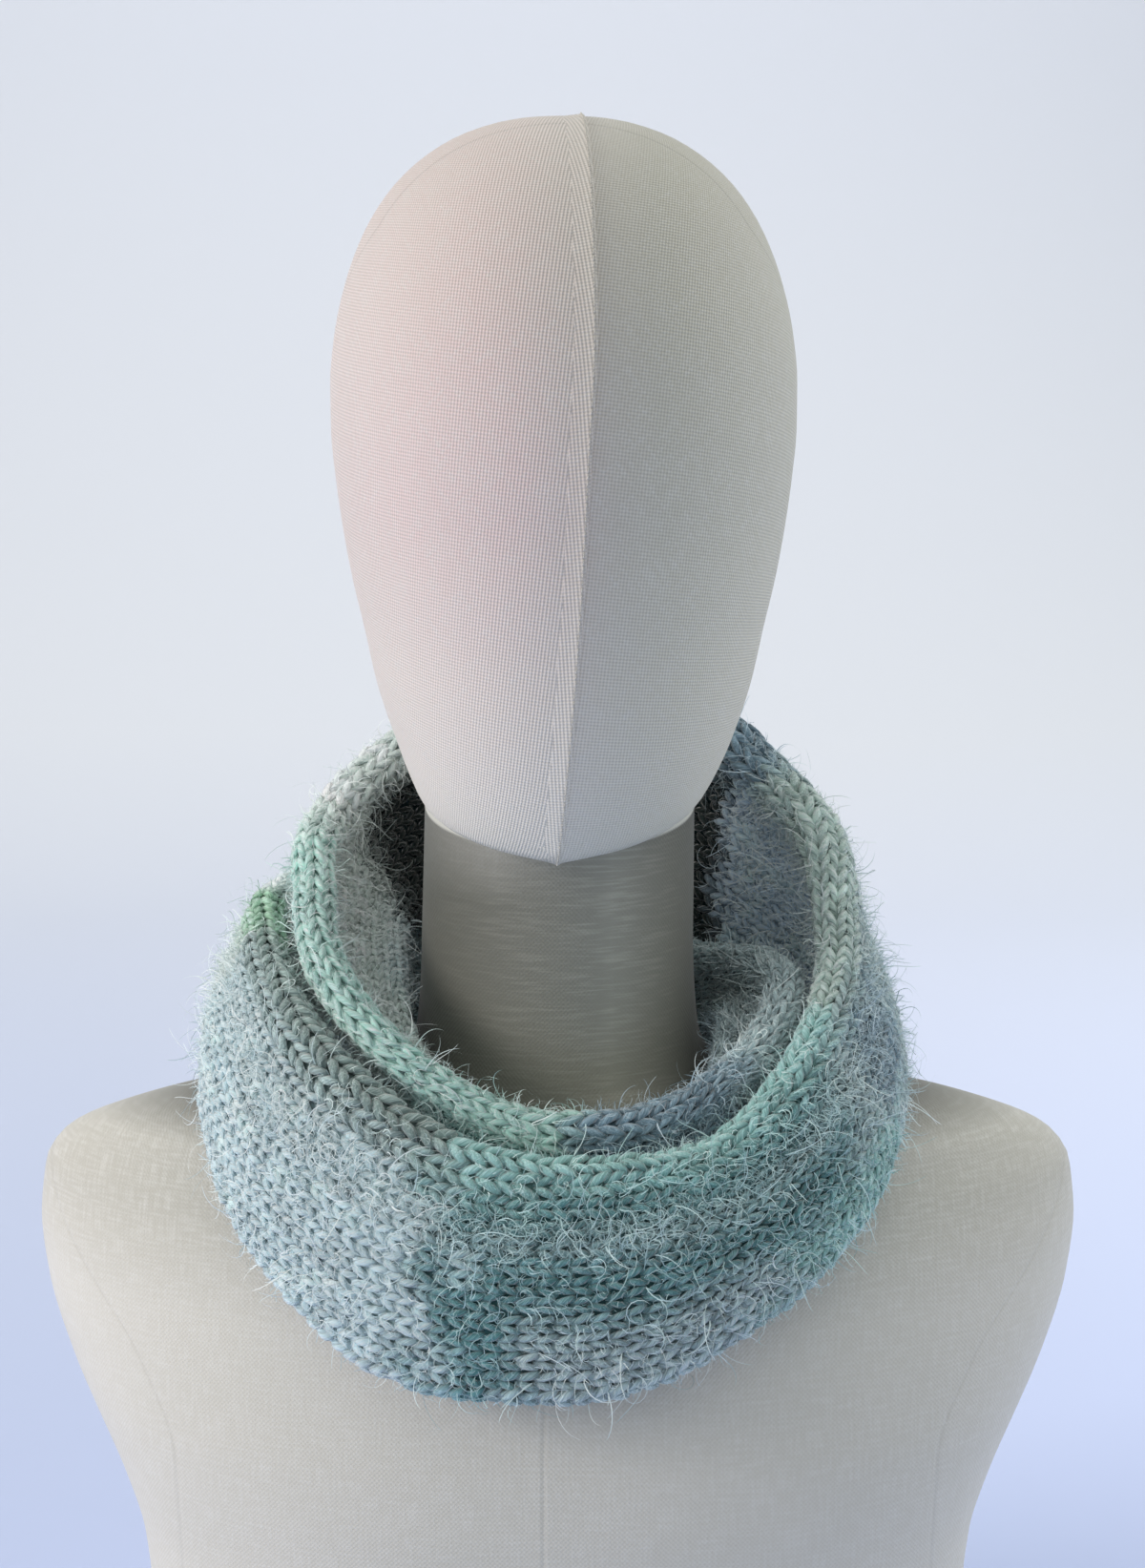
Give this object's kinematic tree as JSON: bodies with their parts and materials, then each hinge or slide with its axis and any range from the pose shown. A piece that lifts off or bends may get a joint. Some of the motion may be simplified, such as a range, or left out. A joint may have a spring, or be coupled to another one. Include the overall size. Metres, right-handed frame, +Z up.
{
  "type": "infinity scarf on a dress form",
  "caption": "A thick knitted loop scarf wound double round the neck of a canvas-covered bust form with a plain oval head, standing on its flat base",
  "frame": {"origin": "on the table, in the middle of the whole part's footprint", "axes": "+Z up, the form faces -Y, +X to the right as one looks at its face"},
  "size_m": [0.406, 0.2416, 0.612],
  "materials": {
    "canvas": "matte woven cotton canvas",
    "wool": "matte brushed hand-dyed knit"
  },
  "bodies": {
    "root": {"form_body": "canvas", "form_head": "canvas", "scarf_front_outer": "wool", "scarf_right_and_nape": "wool", "scarf_left_inner": "wool", "scarf_front_inner": "wool", "scarf_right_inner": "wool", "scarf_left_outer": "wool"}
  },
  "joints": []
}
